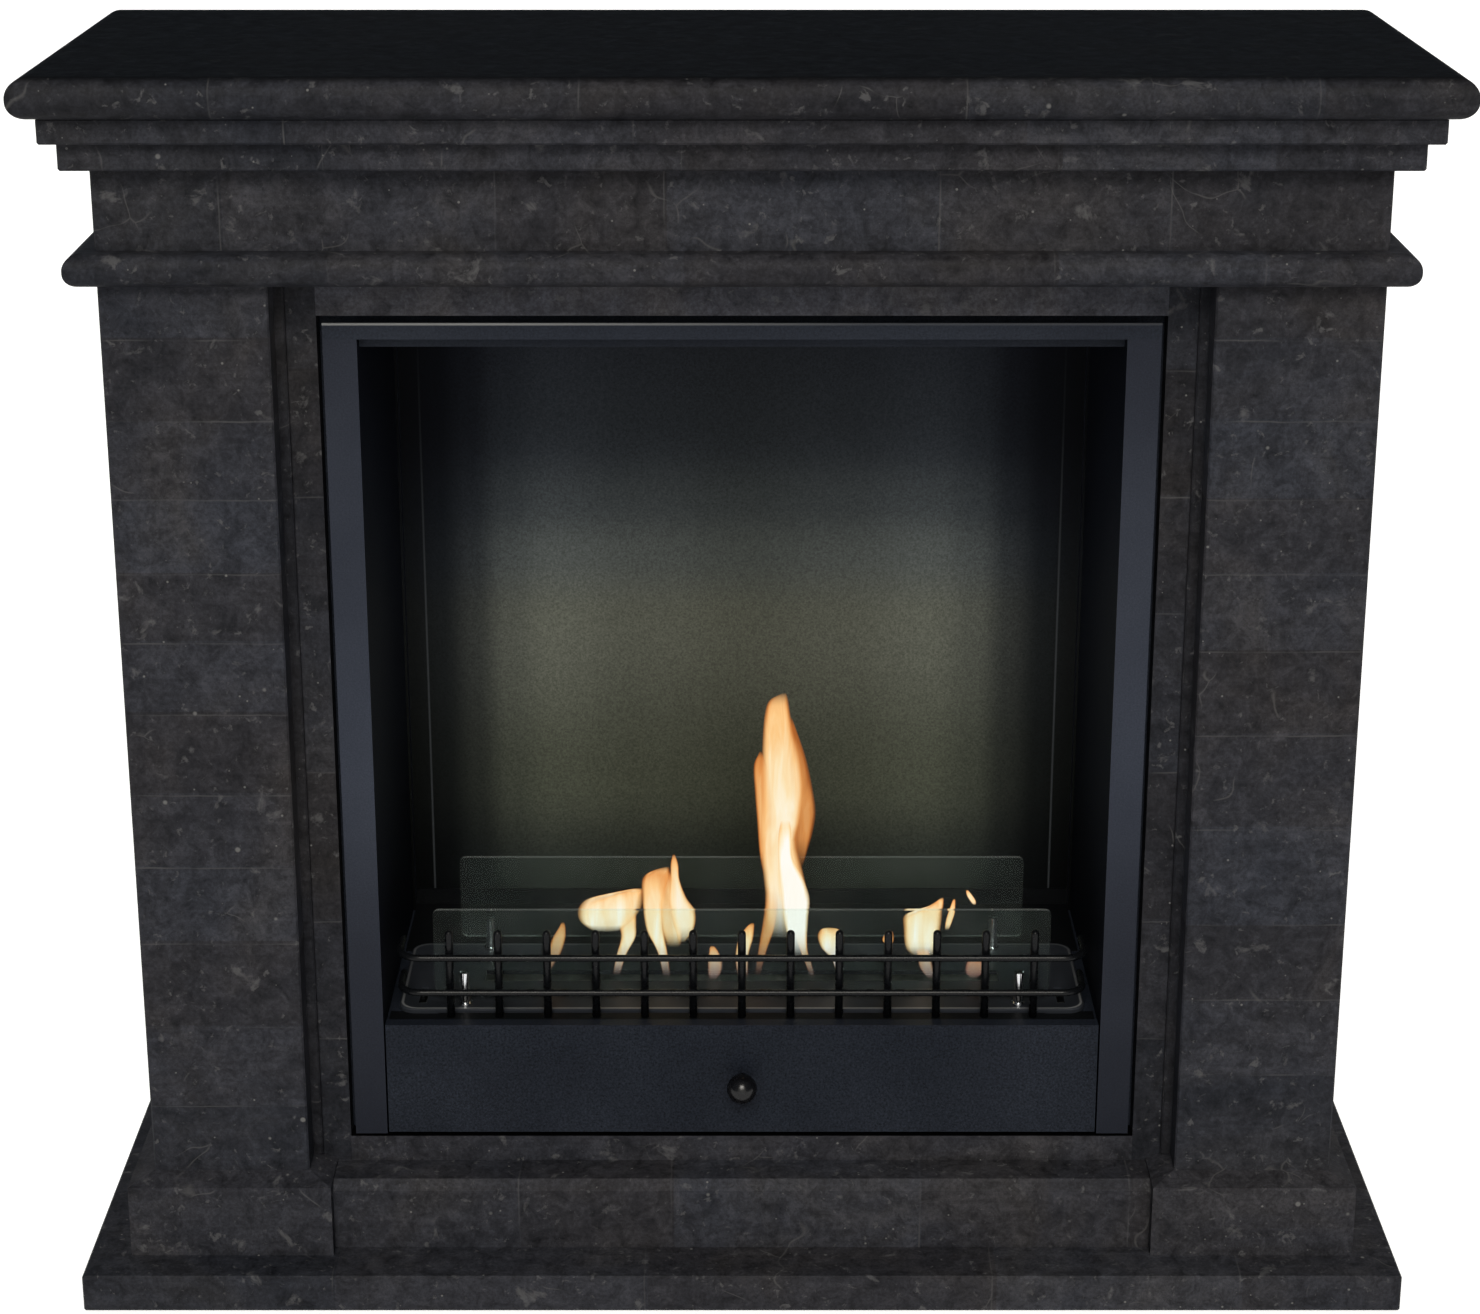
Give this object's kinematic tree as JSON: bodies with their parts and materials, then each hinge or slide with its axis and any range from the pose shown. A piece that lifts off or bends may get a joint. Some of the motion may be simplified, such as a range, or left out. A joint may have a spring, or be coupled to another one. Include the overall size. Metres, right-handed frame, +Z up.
{
  "type": "ethanol fireplace with stone mantel",
  "caption": "Dark stone mantel with a moulded shelf and plinths round a black steel ethanol firebox with burner, wind glasses, wire grate and drawer.",
  "frame": {"origin": "middle of the base slab's footprint, on the floor", "axes": "+X to the right along the front, +Y into the wall, +Z up"},
  "size_m": [1.112, 0.406, 1.035],
  "materials": {
    "stone": "honed",
    "black_coat": "fine texture",
    "grate_black": "satin",
    "knob_black": "gloss",
    "zinc_steel": "satin",
    "stainless": "brushed",
    "glass": "clear",
    "chrome": "polished",
    "wool": "matt"
  },
  "bodies": {
    "surround": {"base_slab": "stone", "plinth_left": "stone", "plinth_right": "stone", "side_plinth_left": "stone", "side_plinth_right": "stone", "bottom_rail": "stone", "pilaster_left": "stone", "pilaster_right": "stone", "side_panel_left": "stone", "side_panel_right": "stone", "slip_left": "stone", "slip_right": "stone", "slip_top": "stone", "slip_bottom": "stone", "corner_strip_left": "stone", "corner_strip_right": "stone", "bead_moulding": "stone", "frieze_front": "stone", "frieze_return_left": "stone", "frieze_return_right": "stone", "cornice_lower": "stone", "cornice_upper": "stone", "mantel_shelf": "stone", "support_channel_left": "black_coat", "support_channel_right": "black_coat", "firebox_floor": "black_coat", "firebox_back": "black_coat", "firebox_side_left": "black_coat", "firebox_side_right": "black_coat", "firebox_top": "black_coat", "deck_angle_left": "black_coat", "deck_angle_right": "black_coat", "deck_front": "black_coat", "deck_rear": "black_coat", "runner_left": "black_coat", "runner_right": "black_coat", "fixing_frame": "black_coat", "grate_uprights": "grate_black", "grate_rail_upper": "grate_black", "grate_rail_lower": "grate_black", "grate_foot_bar": "grate_black", "burner_tank": "stainless", "burner_top_plate": "stainless", "slider_guide_left": "stainless", "slider_guide_right": "stainless", "front_glass": "glass", "rear_glass": "glass", "front_glass_posts": "chrome", "rear_glass_posts": "chrome", "ceramic_wool": "wool"},
    "drawer": {"drawer_front": "black_coat", "drawer_tray": "black_coat", "drawer_knob": "knob_black", "knob_screw": "zinc_steel"},
    "slider": {"burner_slider": "stainless"}
  },
  "joints": [
    {"name": "drawer_slide", "type": "slide", "parent": "surround", "child": "drawer", "axis": [0, -1, 0], "range_m": [0, 0.15]},
    {"name": "slider_slide", "type": "slide", "parent": "surround", "child": "slider", "axis": [0, 1, 0], "range_m": [0, 0.026]}
  ]
}
